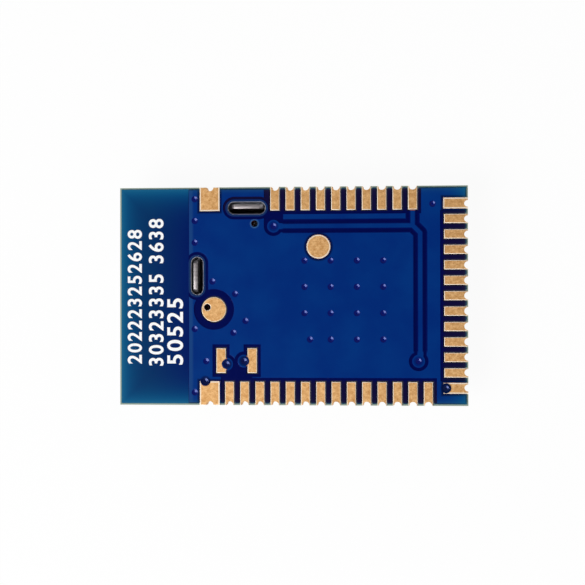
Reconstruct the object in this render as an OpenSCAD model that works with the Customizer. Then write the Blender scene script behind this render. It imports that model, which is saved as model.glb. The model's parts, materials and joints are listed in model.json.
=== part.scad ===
// Castellated radio module: a small printed board with plated half holes on three edges,
// a folded shield can over its components and a chip antenna on its copper-free end.
// The part lies on the lid of its can, solder side up, with the board's length along X.

/* [Board] */
// Length of the board
board_l = 16; // [16:0.5:20]
// Width of the board
board_w = 10; // [10:0.5:14]
// Finished thickness of the board, from solder mask to solder mask
board_t = 0.8; // [0.6:0.1:1.6]
// Thickness of the outer copper with its plating
copper_t = 0.045; // [0.035:0.005:0.07]
// Thickness of the solder mask over the copper
mask_t = 0.025; // [0.02:0.005:0.035]
// Distance by which the raised mask wraps past the edge of the copper
mask_wrap = 0.03; // [0.02:0.005:0.04]
// Gap between an edge contact's land and the solder mask around it
mask_gap = 0.05; // [0.03:0.01:0.08]
// Distance that the solder mask keeps from the board's cut edges
mask_edge = 0.07; // [0.03:0.01:0.09]
// Length of the copper-free end that carries the antenna
antenna_zone = 3.25; // [3.1:0.05:3.35]
// Distance that the ground copper keeps from the board's edges
edge_pullback = 0.15; // [0.1:0.05:0.25]

/* [Edge contacts] */
// Distance between neighbouring contacts
contact_pitch = 0.7; // [0.65:0.05:1]
// Width of a contact's land
contact_w = 0.42; // [0.38:0.01:0.46]
// Length of a contact's land on the solder side
contact_l = 1.08; // [0.9:0.02:1.2]
// Length of a contact's land on the component side
contact_back_l = 0.4; // [0.3:0.02:0.42]
// Diameter of the plated half hole in the board's edge
half_hole_d = 0.35; // [0.25:0.01:0.36]
// Thickness of the plating in every hole
plating_t = 0.025; // [0.015:0.005:0.035]
// Gap between a contact's land and the ground copper
land_gap = 0.2; // [0.15:0.01:0.24]
// Width of a corner ground contact's land
ground_contact_w = 0.94; // [0.7:0.02:1]
// Length of a corner ground contact's land on the solder side
ground_contact_l = 1.1; // [0.9:0.02:1.2]
// Distance of the ground contacts from the antenna end
ground_contact_at = 4.18; // [4.1:0.02:4.3]
// Distance of the lower row's first contact from the antenna end
lower_start = 5.1; // [5.1:0.1:6]
// Distance of the lower row's last contact from the far end, at most one pitch more
lower_rest = 1.8; // [1.6:0.1:2.4]
// Distance of the upper row's first contact from the antenna end
upper_start = 7.2; // [7.2:0.1:8]
// Distance of the upper row's last contact from the far end, at most one pitch more
upper_rest = 2.5; // [2.3:0.1:3.2]
// Distance of the end row's outer contacts from the corners, at most half a pitch more
end_rest = 0.8; // [0.7:0.05:1.2]
// Distance of the via in the lower ground contact from that contact's side
corner_via_in = 0.27; // [0.26:0.01:0.32]
// Distance of the via in the last end contact from that contact's inner end
end_via_in = 0.125; // [0.105:0.01:0.135]
// Diameter of the mask over a via that bites into a land
bite_d = 0.46; // [0.42:0.01:0.47]

/* [Signal track] */
// Width of the signal track
track_w = 0.23; // [0.15:0.01:0.3]
// Gap between the signal track and the ground copper
track_gap = 0.19; // [0.12:0.005:0.2]
// Width of the copper strip between the upper contacts and the track
strip_w = 0.22; // [0.2:0.02:0.4]
// Offset of the track's first via from the first upper contact
track_lead = 0.06; // [0:0.02:0.1]
// Offset of the track's long run from the last upper contact
track_jog = 0.34; // [0.2:0.02:0.4]
// Distance of the track's lower end from the lower edge
track_foot = 2.02; // [1.8:0.02:2.4]
// Distance of the track's last via from the middle of its long run
foot_via_out = 0.08; // [0:0.01:0.1]

/* [Vias] */
// Diameter of a via's hole after plating
via_d = 0.3; // [0.2:0.02:0.34]
// Diameter of a via's copper ring
via_ring_d = 0.54; // [0.46:0.02:0.6]
// Depth to which the solder mask sags into a covered via
via_sag = 0.045; // [0.02:0.005:0.1]
// Depth to which the solder mask plugs a covered via
via_plug = 0.18; // [0.14:0.02:0.3]
// Distance of the open via from the antenna end
open_via_at = 6.26; // [6.1:0.02:6.3]
// Distance of the open via from the upper edge
open_via_drop = 1.68; // [1.66:0.02:1.8]
// Distance of the row of vias along the antenna end from the edge of the ground copper
stitch_in = 0.24; // [0.2:0.01:0.26]
// Distance of that row's first via from the upper edge
stitch_start = 0.54; // [0.5:0.02:0.7]
// Distance between that row's first vias
stitch_pitch = 1; // [0.9:0.01:1.02]
// Number of that row's first vias
stitch_n = 3; // [1:1:3]
// Offset of that row's single via from the board's middle line
stitch_y = -1.51; // [-1.6:0.01:-1.4]
// Distance of that row's last via from the lower edge
stitch_rest = 0.58; // [0.5:0.02:0.6]

/* [Test lands] */
// Diameter of the ground test land
ground_land_d = 1.12; // [0.8:0.02:1.2]
// Distance of the ground test land's middle from the antenna end
ground_land_at = 9.2; // [9:0.05:9.6]
// Distance of the ground test land's middle from the upper edge
ground_land_drop = 2.75; // [2.72:0.02:2.8]
// Diameter of the antenna test land
antenna_land_d = 1.14; // [0.96:0.02:1.2]
// Gap around the antenna test land
antenna_land_gap = 0.39; // [0.2:0.01:0.42]
// Distance of the antenna test land's middle from the antenna end
antenna_land_at = 4.38; // [4.3:0.02:4.4]
// Offset of the antenna test land's middle from the board's middle line
antenna_land_y = -0.61; // [-0.7:0.01:-0.6]
// Distance of the feed hole from the antenna test land's middle, towards the antenna end
feed_hole_back = 0.31; // [0.26:0.01:0.34]
// Distance of the feed hole above the antenna test land's middle
feed_hole_rise = 0.1; // [0:0.01:0.14]
// Width of a spare part's land
spare_land_w = 0.44; // [0.4:0.02:0.5]
// Length of a spare part's land
spare_land_l = 1.14; // [0.9:0.02:1.2]
// Distance between the middles of the spare part's two lands
spare_land_pitch = 1.44; // [1.36:0.02:1.6]
// Distance of the spare part's middle from the antenna end
spare_at = 5.43; // [5.35:0.02:5.6]
// Distance of the spare part's middle from the lower edge
spare_rise = 2.04; // [2:0.01:2.1]
// Distance of the first spare land's via from the land's side
near_via_gap = 0.04; // [0:0.01:0.08]
// Distance of the first spare land's via below the land's middle
spare_via_drop = 0.16; // [0.1:0.01:0.2]
// Distance of the second spare land's via from the land's side
far_via_gap = 0.155; // [0.125:0.01:0.195]
// Distance of the second spare land's via below the land's middle
far_via_drop = 0.02; // [0:0.01:0.1]

/* [Shield can] */
// Height of the can, from its lid to its foot
can_h = 1.4; // [1.3:0.05:2]
// Thickness of the can's sheet
sheet_t = 0.2; // [0.12:0.01:0.22]
// Outer radius of the can's bends
bend_r = 0.35; // [0.3:0.01:0.5]
// Distance of the can's first wall from the antenna end
can_start = 3.42; // [3.4:0.01:3.46]
// Distance of the can's other walls from the board's edges
can_margin = 0.78; // [0.76:0.01:0.84]
// Width of the slit between two walls at a corner
corner_slit = 0.05; // [0.03:0.01:0.1]
// Length of a locating tab along its wall
tab_l = 1.5; // [1.2:0.05:1.55]
// Distance of a tab's tip below the solder side
tab_drop = 0.1; // [0.05:0.01:0.3]
// Size of the cut-off corners of a tab's tip
tab_chamfer = 0.15; // [0.05:0.01:0.2]
// Length of a tab's slot in the board
slot_l = 1.72; // [1.7:0.02:1.9]
// Width of a tab's slot in the board
slot_w = 0.55; // [0.5:0.01:0.6]
// Width of the plated ring around a slot
slot_ring = 0.09; // [0.06:0.01:0.12]
// Width of the ring's rim that the solder mask leaves bare
slot_rim = 0.02; // [0.01:0.01:0.05]
// Gap between a slot's ring and the ground copper
slot_gap = 0.18; // [0.14:0.01:0.19]
// Distance of a slot's middle inside the middle of its tab
slot_inset = 0.08; // [0.04:0.01:0.09]
// Distance of the upper tab from the antenna end
upper_tab_at = 5.9; // [5.8:0.05:6]
// Offset of the end tab from the board's middle line
end_tab_y = 0.93; // [0.9:0.01:1.1]
// Size of the solder fillet along the can's foot
fillet = 0.12; // [0.06:0.01:0.13]

/* [Processor] */
// Side of the processor's package
processor_w = 6; // [5:0.1:6]
// Height of the processor's package
processor_h = 0.85; // [0.6:0.05:0.95]
// Distance of the processor's middle from the antenna end
processor_at = 10.36; // [10.3:0.02:10.4]
// Offset of the processor from the board's middle line
processor_y = -0.19; // [-0.25:0.01:-0.1]
// Contacts on each side of the processor's package, as far as the side holds them
processor_leads_per_side = 12; // [8:1:12]
// Distance between the processor's contacts
lead_pitch = 0.4; // [0.35:0.01:0.4]
// Distance that the contacts of a side keep from the package's corners
lead_corner = 0.6; // [0.5:0.05:0.7]
// Width of one processor contact
lead_w = 0.2; // [0.15:0.01:0.25]
// Length of one processor contact
lead_l = 0.4; // [0.3:0.02:0.45]
// Thickness of the processor's lead frame
lead_t = 0.2; // [0.1:0.01:0.25]
// Side of the processor's thermal pad
paddle_w = 4.4; // [3:0.1:4.6]
// Gap that the thermal pad keeps from the contacts
paddle_gap = 0.2; // [0.1:0.05:0.3]
// Diameter of the dimple that marks the processor's first contact
mark_d = 0.5; // [0.3:0.05:0.6]
// Distance of the dimple from the package's sides
mark_inset = 0.75; // [0.6:0.05:1]
// Depth of the dimple
mark_t = 0.04; // [0.02:0.01:0.06]
// Distance between the vias below the thermal pad
grid_pitch = 1.2; // [1:0.02:1.22]
// Vias along each side of the thermal pad
grid_n = 4; // [3:1:4]
// Offset of the one via that stands out of line
grid_shift = 0.25; // [0:0.01:0.3]

/* [Small parts] */
// Gap between a part's body and the face of its lands
stand_off = 0.05; // [0.04:0.01:0.08]
// Distance by which a land reaches past the end of its part
land_apron = 0.15; // [0.1:0.01:0.18]
// Gap between a part's lands and the copper and mask around them
window_gap = 0.12; // [0.1:0.01:0.14]
// Thickness of the metal on a chip part's ends
end_cap_t = 0.02; // [0.01:0.005:0.04]
// Share of a chip part's length that each metal end covers
chip_end_share = 0.25; // [0.2:0.01:0.3]
// Length of a chip part
chip_l = 1; // [0.9:0.05:1.05]
// Width of a chip part
chip_w = 0.5; // [0.4:0.05:0.55]
// Height of a chip part
chip_h = 0.5; // [0.3:0.05:0.8]
// Distance between the chip parts of a row
chip_pitch = 1.4; // [1.36:0.02:1.44]
// Chip parts in the row above the processor
upper_chips = 4; // [2:1:4]
// Distance of that row's middle from the processor
upper_row_gap = 0.64; // [0.6:0.02:0.7]
// Chip parts in the row below the processor
lower_chips = 3; // [2:1:3]
// Distance of that row's middle from the processor
lower_row_gap = 0.45; // [0.45:0.01:0.48]
// Chip parts in the row at the processor's far side
end_chips = 4; // [2:1:4]
// Distance of that row's middle from the processor
end_row_gap = 0.86; // [0.8:0.02:0.9]
// Distance of the antenna filter's first part from the antenna end
filter_at = 5.1; // [5.05:0.05:5.2]
// Distance between the antenna filter's two parts
filter_pitch = 1.7; // [1.6:0.05:1.75]
// Length of the supply choke
choke_l = 1.6; // [1.4:0.05:1.65]
// Width of the supply choke
choke_w = 0.8; // [0.6:0.05:0.85]
// Height of the supply choke
choke_h = 0.8; // [0.5:0.05:1]
// Distance of the supply choke from the antenna end
choke_at = 4.95; // [4.9:0.05:5.1]
// Length of the radio crystal
radio_crystal_l = 2; // [1.6:0.1:2]
// Width of the radio crystal
radio_crystal_w = 1.6; // [1.2:0.1:1.7]
// Height of the radio crystal's base
radio_crystal_h = 0.35; // [0.3:0.05:0.6]
// Distance of the radio crystal from the antenna end
radio_crystal_at = 6; // [5.9:0.05:6.1]
// Offset of the radio crystal from the board's middle line
radio_crystal_y = 1.2; // [1.1:0.05:1.2]
// Length of the clock crystal
clock_crystal_l = 2; // [1.6:0.1:2.1]
// Width of the clock crystal
clock_crystal_w = 1.2; // [1:0.1:1.3]
// Height of the clock crystal's base
clock_crystal_h = 0.4; // [0.3:0.05:0.6]
// Distance of the clock crystal from the antenna end
clock_crystal_at = 5.6; // [5.5:0.05:5.7]
// Offset of the clock crystal from the board's middle line
clock_crystal_y = -2.6; // [-2.65:0.05:-2.4]
// Length of a crystal's terminal
terminal_l = 0.5; // [0.4:0.05:0.6]
// Width of a crystal's terminal
terminal_w = 0.4; // [0.3:0.05:0.45]
// Thickness of a crystal's lid
crystal_lid_t = 0.12; // [0.08:0.01:0.16]
// Width of a crystal's rim around its lid
crystal_rim = 0.12; // [0.08:0.01:0.16]

/* [Antenna] */
// Length of the antenna, across the board
antenna_l = 3.2; // [2:0.1:3.2]
// Width of the antenna
antenna_w = 1.6; // [0.8:0.1:1.6]
// Height of the antenna above its stand-off
antenna_h = 0.6; // [0.4:0.05:0.9]
// Distance of the antenna from the board's end
antenna_margin = 0.5; // [0.3:0.05:0.7]
// Length of the antenna's plated ends
antenna_end_l = 0.5; // [0.3:0.05:0.7]
// Width of the antenna's feed track
feed_w = 0.3; // [0.2:0.02:0.4]
// Width of the can's arch over the feed track
arch_w = 0.8; // [0.7:0.05:0.9]
// Height of the can's arch over the feed track
arch_h = 0.3; // [0.2:0.02:0.5]

/* [Hidden] */
$fn = 48;

// Overlap that carries a cut past the face it starts from
past = 0.1;

// Heights: the can's lid is at zero, and its foot stands on the component side's copper
seat_z = can_h;
laminate_z = seat_z + copper_t;
laminate_t = board_t - 2 * (copper_t + mask_t);
solder_z = laminate_z + laminate_t;
land_z = solder_z + copper_t;
top_z = land_z + mask_t;

// Edges of the board and of its ground copper
left = -board_l / 2;
right = board_l / 2;
lower = -board_w / 2;
upper = board_w / 2;
pour_left = left + antenna_zone;
pour_right = right - edge_pullback;
pour_half_w = upper - edge_pullback;

// Rows: as many places as a span holds, counted from its start or set about its middle
count_slack = 0.001;
function row_count(span, pitch) = floor(span / pitch + count_slack) + 1;
function row_from(start, span, pitch) = [for (i = [0 : row_count(span, pitch) - 1]) start + i * pitch];
function row_about(n, pitch) = [for (i = [0 : n - 1]) ((n - 1) / 2 - i) * pitch];

// Places of the edge contacts along their edges
lower_x = row_from(left + lower_start, board_l - lower_start - lower_rest, contact_pitch);
upper_x = row_from(left + upper_start, board_l - upper_start - upper_rest, contact_pitch);
end_n = row_count(board_w - 2 * end_rest, contact_pitch);
end_y = row_about(end_n, contact_pitch);
last_lower_x = lower_x[len(lower_x) - 1];
last_upper_x = upper_x[len(upper_x) - 1];
ground_contact_x = left + ground_contact_at;
// The end row's outer contacts are ground too, bare as far as the mask's opening reaches
end_signal_y = [for (i = [1 : end_n - 2]) end_y[i]];
end_ground_y = [end_y[0], end_y[end_n - 1]];
end_ground_w = contact_w + 2 * mask_gap;
end_ground_l = contact_l + mask_gap;

// Planes of the can's walls and the middles of its tabs and slots
can_left = left + can_start;
can_right = right - can_margin;
can_half_w = upper - can_margin;
can_l = can_right - can_left;
upper_slot = [left + upper_tab_at, can_half_w - sheet_t / 2 - slot_inset];
end_slot = [can_left + sheet_t / 2 + slot_inset, end_tab_y];

// Signal track
track_y = upper - contact_l - land_gap - strip_w - track_gap - track_w / 2;
track_start = [upper_x[0] - track_lead, track_y];
track_end = [last_upper_x + track_jog, lower + track_foot];
track_path = [track_start, [last_upper_x, track_y], [track_end.x, track_y - track_jog], track_end];
branch_path = [[last_upper_x, track_y], [last_upper_x, upper - contact_l]];

// Test lands, with the hole that brings the antenna's feed through the board
ground_land = [left + ground_land_at, upper - ground_land_drop];
antenna_land = [left + antenna_land_at, antenna_land_y];
feed_hole = antenna_land + [-feed_hole_back, feed_hole_rise];
open_via = [left + open_via_at, upper - open_via_drop];

// Spare part's lands, each bitten by a covered via beside it
spare_y = lower + spare_rise;
spare_lands = [for (s = [-1, 1]) [left + spare_at + s * spare_land_pitch / 2, spare_y]];
spare_vias = [
    spare_lands[0] + [spare_land_w / 2 + near_via_gap, -spare_via_drop],
    spare_lands[1] - [spare_land_w / 2 + far_via_gap, far_via_drop]
];

// Covered vias that bite into an edge contact's land
contact_vias = [
    [ground_contact_x - ground_contact_w / 2 + corner_via_in, lower + ground_contact_l],
    [right - end_ground_l + end_via_in, end_ground_y[1]]
];
biting_vias = concat(spare_vias, contact_vias);

// Vias of the ground copper: a row along its antenna edge, single ones and the thermal grid
stitch_x = pour_left + stitch_in;
stitch_vias = concat(
    [for (i = [0 : stitch_n - 1]) [stitch_x, upper - stitch_start - stitch_pitch * i]],
    [[stitch_x, stitch_y], [stitch_x, lower + stitch_rest]]
);
// Single vias, each set off from the land, slot or contact beside it
single_vias = [
    end_slot + [0.713, -0.26],
    antenna_land + [0.98, 0.71],
    antenna_land + [1.46, -0.53],
    antenna_land + [0.9, -1.07],
    spare_lands[0] + [-0.69, -0.03],
    [last_upper_x + 0.9, upper - 0.83]
];
processor_place = [left + processor_at, processor_y];
grid_row = row_about(grid_n, grid_pitch);
grid_vias = [
    for (i = [0 : grid_n - 1], j = [0 : grid_n - 1])
        processor_place + [grid_row[i], grid_row[j]] + [min(i, j) == grid_n - 1 ? grid_shift : 0, 0]
];
track_vias = [track_start, track_end - [foot_via_out, 0]];
covered_vias = concat(stitch_vias, single_vias, grid_vias, track_vias, biting_vias);
open_holes = [feed_hole, open_via];

// Places of the processor's contacts along one side
lead_x = [
    for (x = row_about(processor_leads_per_side, lead_pitch))
        if (abs(x) + lead_w / 2 < processor_w / 2 - lead_corner + count_slack) x
];

// Small parts of the component side: place, turn and size of each one
chip = [chip_l, chip_w, chip_h];
choke = [choke_l, choke_w, choke_h];
choke_y = upper_slot.y - slot_w / 2 - slot_ring - land_gap - choke_w / 2;
upper_row_y = processor_y + processor_w / 2 + upper_row_gap;
lower_row_y = processor_y - processor_w / 2 - lower_row_gap;
end_row_x = processor_place.x + processor_w / 2 + end_row_gap;
capacitors = concat(
    [for (x = row_about(upper_chips, chip_pitch)) [[processor_place.x + x, upper_row_y], 0, chip]],
    [for (y = row_about(end_chips, chip_pitch)) [[end_row_x, processor_y + y], 90, chip]],
    [for (x = row_about(lower_chips, chip_pitch)) [[processor_place.x + x, lower_row_y], 0, chip]]
);
inductors = [
    [[left + filter_at, antenna_land.y], 0, chip],
    [[left + filter_at + filter_pitch, antenna_land.y], 90, chip],
    [[left + choke_at, choke_y], 0, choke]
];
radio_crystal_place = [left + radio_crystal_at, radio_crystal_y];
radio_crystal_size = [radio_crystal_l, radio_crystal_w, radio_crystal_h];
clock_crystal_place = [left + clock_crystal_at, clock_crystal_y];
clock_crystal_size = [clock_crystal_l, clock_crystal_w, clock_crystal_h];
terminal_size = [terminal_l, terminal_w];

// Antenna, fed at its lower end
antenna_size = [antenna_w, antenna_l, antenna_h];
antenna_place = [
    left + antenna_margin + antenna_w / 2,
    feed_hole.y + antenna_l / 2 - antenna_end_l / 2
];
feed_path = [feed_hole, [antenna_place.x, feed_hole.y]];

// Lengths of straight tracks with mitred corners
function unit(v) = v / norm(v);
function normal(a, b) = [-unit(b - a).y, unit(b - a).x];
function side_step(path, i) =
    i == 0 ? normal(path[0], path[1])
    : i == len(path) - 1 ? normal(path[i - 1], path[i])
    : let (a = normal(path[i - 1], path[i]), b = normal(path[i], path[i + 1])) (a + b) / (1 + a * b);
module track_2d(path, w) {
    polygon(concat(
        [for (i = [0 : len(path) - 1]) path[i] + side_step(path, i) * w / 2],
        [for (i = [len(path) - 1 : -1 : 0]) path[i] - side_step(path, i) * w / 2]
    ));
}

module discs_2d(places, d) {
    for (p = places) translate(p) circle(d = d);
}

// Oblong with round ends, along X
module oblong_2d(l, w) {
    square([l - w, w], center = true);
    for (s = [-1, 1]) translate([s * (l - w) / 2, 0]) circle(d = w);
}

module rounded_2d(size, r) {
    square([size.x - 2 * r, size.y], center = true);
    square([size.x, size.y - 2 * r], center = true);
    for (sx = [-1, 1], sy = [-1, 1])
        translate([sx * (size.x / 2 - r), sy * (size.y / 2 - r)]) circle(r);
}

module slots_2d(grow = 0) {
    translate(upper_slot) oblong_2d(slot_l + 2 * grow, slot_w + 2 * grow);
    translate(end_slot) rotate(90) oblong_2d(slot_l + 2 * grow, slot_w + 2 * grow);
}

module layer(z, t) {
    translate([0, 0, z]) linear_extrude(t) children();
}

// Frames of the contacts: the origin is on the board's edge and Y points out of the board
module at_lower(places = lower_x) {
    for (x = places) translate([x, lower]) rotate(180) children();
}
module at_upper(places = upper_x) {
    for (x = places) translate([x, upper]) children();
}
module at_end(places) {
    for (y = places) translate([right, y]) rotate(-90) children();
}
module at_signals() {
    at_lower() children();
    at_upper() children();
    at_end(end_signal_y) children();
}
module at_corners() {
    at_lower([ground_contact_x]) children();
    at_upper([ground_contact_x]) children();
}

// Rectangle that reaches inwards from a contact's edge and past it by more
module reach_2d(w, l, more = 0) {
    translate([-w / 2, -l]) square([w, l + more]);
}

// One plated contact: a land on each side of the board and the half barrel between them
module contact(w, l) {
    barrel_d = half_hole_d + 2 * plating_t;
    difference() {
        union() {
            layer(solder_z, copper_t) reach_2d(w, l);
            layer(laminate_z, laminate_t) intersection() {
                circle(d = barrel_d);
                reach_2d(2 * barrel_d, barrel_d);
            }
            layer(seat_z, copper_t) reach_2d(w, contact_back_l);
        }
        layer(seat_z - past, copper_t + laminate_t + copper_t + 2 * past) circle(d = half_hole_d);
    }
}

// Band without ground copper around a row of contacts, as wide as its outer lands
module row_band_2d(row_w, l, gap) {
    reach_2d(row_w + contact_w + 2 * gap, l + gap, past);
}
module contact_bands_2d(l, gap) {
    translate([(lower_x[0] + last_lower_x) / 2, lower]) rotate(180)
        row_band_2d(last_lower_x - lower_x[0], l, gap);
    translate([(upper_x[0] + last_upper_x) / 2, upper])
        row_band_2d(last_upper_x - upper_x[0], l, gap);
    translate([right, 0]) rotate(-90) row_band_2d((end_n - 3) * contact_pitch, l, gap);
}

// Outline of the ground copper before anything is cut from it
module pour_outline_2d(grow = 0) {
    translate([pour_left - grow, -pour_half_w - grow])
        square([pour_right - pour_left + 2 * grow, 2 * (pour_half_w + grow)]);
}

// Everything that the ground copper keeps clear of, with each gap less by the given amount
module clearances_2d(less = 0) {
    contact_bands_2d(contact_l, land_gap - less);
    track_2d(track_path, track_w + 2 * (track_gap - less));
    track_2d(concat(branch_path, [[last_upper_x, upper]]), track_w + 2 * (track_gap - less));
    discs_2d(track_vias, via_ring_d + 2 * (land_gap - less));
    translate([track_start.x - via_ring_d / 2 - land_gap + less, track_start.y])
        square([via_ring_d + 2 * (land_gap - less), upper - track_start.y]);
    discs_2d([antenna_land], antenna_land_d + 2 * (antenna_land_gap - less));
    slots_2d(slot_ring + slot_gap - less);
    for (p = spare_lands)
        translate(p) square([spare_land_w, spare_land_l] + 2 * (land_gap - less) * [1, 1], center = true);
    discs_2d(spare_vias, via_ring_d + 2 * (land_gap - less));
    translate([spare_lands[0].x, lower + contact_l])
        square([spare_land_pitch, spare_vias[0].y - lower - contact_l]);
}

module pour_2d(grow = 0) {
    difference() {
        pour_outline_2d(grow);
        clearances_2d(grow);
    }
}

module islands_2d(grow = 0) {
    track_2d(track_path, track_w + 2 * grow);
    track_2d(branch_path, track_w + 2 * grow);
    discs_2d(concat(track_vias, spare_vias), via_ring_d + 2 * grow);
    slots_2d(slot_ring + grow);
}

// Lands that lie within the ground copper
module ground_lands_2d() {
    at_corners() reach_2d(ground_contact_w, ground_contact_l, past);
    at_end(end_ground_y) reach_2d(end_ground_w, end_ground_l, past);
    discs_2d([ground_land], ground_land_d);
}
// Lands that stand apart from the ground copper
module signal_lands_2d(grow = 0) {
    at_signals() reach_2d(contact_w + 2 * grow, contact_l + grow, past);
    for (p = spare_lands)
        translate(p) square([spare_land_w, spare_land_l] + 2 * grow * [1, 1], center = true);
    discs_2d([antenna_land], antenna_land_d + 2 * grow);
}

module board_2d(inset = 0) {
    square([board_l, board_w] - 2 * inset * [1, 1], center = true);
}
module half_holes_2d(d) {
    at_signals() circle(d = d);
    at_corners() circle(d = d);
    at_end(end_ground_y) circle(d = d);
}

// Board

module laminate() {
    color("#9a8f5c") layer(laminate_z, laminate_t) difference() {
        board_2d();
        half_holes_2d(half_hole_d + 2 * plating_t);
        slots_2d(plating_t);
        discs_2d(concat(covered_vias, open_holes), via_d + 2 * plating_t);
    }
}

module solder_side_copper() {
    color("#b87333") layer(solder_z, copper_t) difference() {
        union() {
            difference() {
                pour_2d();
                ground_lands_2d();
            }
            difference() {
                islands_2d();
                slots_2d(slot_ring);
                signal_lands_2d();
            }
        }
        discs_2d(concat(covered_vias, [open_via]), via_d);
    }
}

module via_barrels() {
    color("#b87333") layer(laminate_z, laminate_t) difference() {
        discs_2d(concat(covered_vias, open_holes), via_d + 2 * plating_t);
        discs_2d(concat(covered_vias, open_holes), via_d);
    }
}

module slot_linings() {
    color("#b9b4a6") {
        for (z = [seat_z, solder_z]) layer(z, copper_t) difference() {
            slots_2d(slot_ring);
            slots_2d();
        }
        layer(laminate_z, laminate_t) difference() {
            slots_2d(plating_t);
            slots_2d();
        }
    }
}

// Film between the copper, film over the copper and the plugs that sag into the covered vias
module solder_side_mask() {
    sag_r = (via_d * via_d / 4 + via_sag * via_sag) / (2 * via_sag);
    color("#012f77") difference() {
        union() {
            layer(solder_z, copper_t) difference() {
                board_2d(mask_edge);
                pour_2d();
                islands_2d();
                signal_lands_2d(mask_gap);
                ground_lands_2d();
                half_holes_2d(half_hole_d + 2 * plating_t);
            }
            layer(land_z, mask_t) difference() {
                intersection() {
                    board_2d(mask_edge);
                    union() {
                        pour_2d(mask_wrap);
                        islands_2d(mask_wrap);
                        discs_2d(biting_vias, bite_d);
                    }
                }
                difference() {
                    union() {
                        signal_lands_2d(mask_gap);
                        ground_lands_2d();
                    }
                    discs_2d(biting_vias, bite_d);
                }
                slots_2d(slot_rim);
                discs_2d([open_via], via_d);
            }
            for (p = covered_vias)
                translate([p.x, p.y, land_z - via_plug]) cylinder(d = via_d, h = via_plug + mask_t / 2);
        }
        for (p = covered_vias)
            translate([p.x, p.y, top_z - via_sag + sag_r]) sphere(sag_r);
    }
}

// Windows in the component side's copper and mask, one for each part
module window_2d(size, margin) {
    square([size.x, size.y] + 2 * margin * [1, 1], center = true);
}
module windows_2d(grow = 0) {
    bare = window_gap + grow;
    translate(processor_place) window_2d(processor_w * [1, 1], land_apron + bare);
    translate(radio_crystal_place) window_2d(radio_crystal_size, bare);
    translate(clock_crystal_place) window_2d(clock_crystal_size, bare);
    for (c = concat(capacitors, inductors))
        translate(c[0]) rotate(c[1]) window_2d(c[2], land_apron + bare);
}

module can_frame_2d(out, inside) {
    difference() {
        translate([can_left - out, -can_half_w - out]) square([can_l + 2 * out, 2 * (can_half_w + out)]);
        translate([can_left + inside, -can_half_w + inside])
            square([can_l - 2 * inside, 2 * (can_half_w - inside)]);
    }
}

// Lands below the metal ends of the chip parts
module chip_lands_2d() {
    for (c = concat(capacitors, inductors), side = [0, 180])
        translate(c[0]) rotate(c[1] + side)
            translate([c[2].x / 2 - chip_end_share * c[2].x, -c[2].y / 2])
                square([chip_end_share * c[2].x + land_apron, c[2].y]);
}

// Repeats its children at each processor contact, with X along the package's side and Y outwards
module at_each_lead() {
    for (turn = [0 : 90 : 270], x = lead_x)
        translate(processor_place) rotate(turn) translate([x, processor_w / 2]) children();
}
module lead_2d(more = 0) {
    translate([-lead_w / 2, -lead_l]) square([lead_w, lead_l + more]);
}
// Thermal pad, cut back where it would come too near to the contacts
module paddle_2d() {
    difference() {
        translate(processor_place) square(paddle_w, center = true);
        at_each_lead() translate([0, -lead_l])
            square([lead_w + 2 * paddle_gap, 2 * paddle_gap], center = true);
    }
}

// Terminals below the corners of the crystals
module terminals_of_2d(place, size) {
    for (sx = [-1, 1], sy = [-1, 1])
        translate(place + [sx * (size.x - terminal_size.x) / 2, sy * (size.y - terminal_size.y) / 2])
            square(terminal_size, center = true);
}
module terminals_2d() {
    terminals_of_2d(radio_crystal_place, radio_crystal_size);
    terminals_of_2d(clock_crystal_place, clock_crystal_size);
}

module antenna_lands_2d(grow = 0) {
    for (s = [-1, 1])
        translate(antenna_place + [0, s * (antenna_size.y - antenna_end_l) / 2])
            square([antenna_size.x, antenna_end_l] + 2 * (land_apron + grow) * [1, 1], center = true);
}

// Component-side lands of the ground contacts
module ground_backs_2d() {
    at_corners() reach_2d(ground_contact_w, contact_back_l, past);
    at_end(end_ground_y) reach_2d(end_ground_w, contact_back_l, past);
}

// Ground copper of the component side, with a clear band around the contacts, parts and feed
module back_pour_2d(grow = 0) {
    difference() {
        pour_outline_2d(grow);
        contact_bands_2d(contact_back_l, land_gap - grow);
        ground_backs_2d();
        windows_2d(-grow);
        slots_2d(slot_ring);
        track_2d(feed_path, feed_w + 2 * (land_gap - grow));
        discs_2d([feed_hole], via_ring_d + 2 * (land_gap - grow));
    }
}
module feed_2d(grow = 0) {
    track_2d(feed_path, feed_w + 2 * grow);
    discs_2d([feed_hole], via_ring_d + 2 * grow);
}

module component_side_copper() {
    color("#b87333") layer(seat_z, copper_t) difference() {
        union() {
            back_pour_2d();
            feed_2d();
            antenna_lands_2d();
            chip_lands_2d();
            terminals_2d();
            at_each_lead() lead_2d(land_apron);
            paddle_2d();
        }
        discs_2d(open_holes, via_d);
    }
}

// Places that the component side's mask leaves bare
module back_openings_2d() {
    at_signals() reach_2d(contact_w + 2 * mask_gap, contact_back_l + mask_gap, past);
    ground_backs_2d();
    windows_2d(mask_gap);
    can_frame_2d(fillet + mask_gap, sheet_t + mask_gap);
    slots_2d(slot_ring);
    antenna_lands_2d(mask_gap);
    discs_2d(open_holes, via_ring_d);
}

module component_side_mask() {
    color("#012f77") {
        layer(seat_z, copper_t) difference() {
            board_2d(mask_edge);
            back_pour_2d();
            feed_2d();
            back_openings_2d();
        }
        layer(seat_z - mask_t, mask_t) difference() {
            union() {
                back_pour_2d(mask_wrap);
                feed_2d(mask_wrap);
            }
            back_openings_2d();
        }
    }
}

// Contacts and lands

module lower_edge_contacts() {
    color("#c99763") at_lower() contact(contact_w, contact_l);
}

module upper_edge_contacts() {
    color("#c99763") at_upper() contact(contact_w, contact_l);
}

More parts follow.
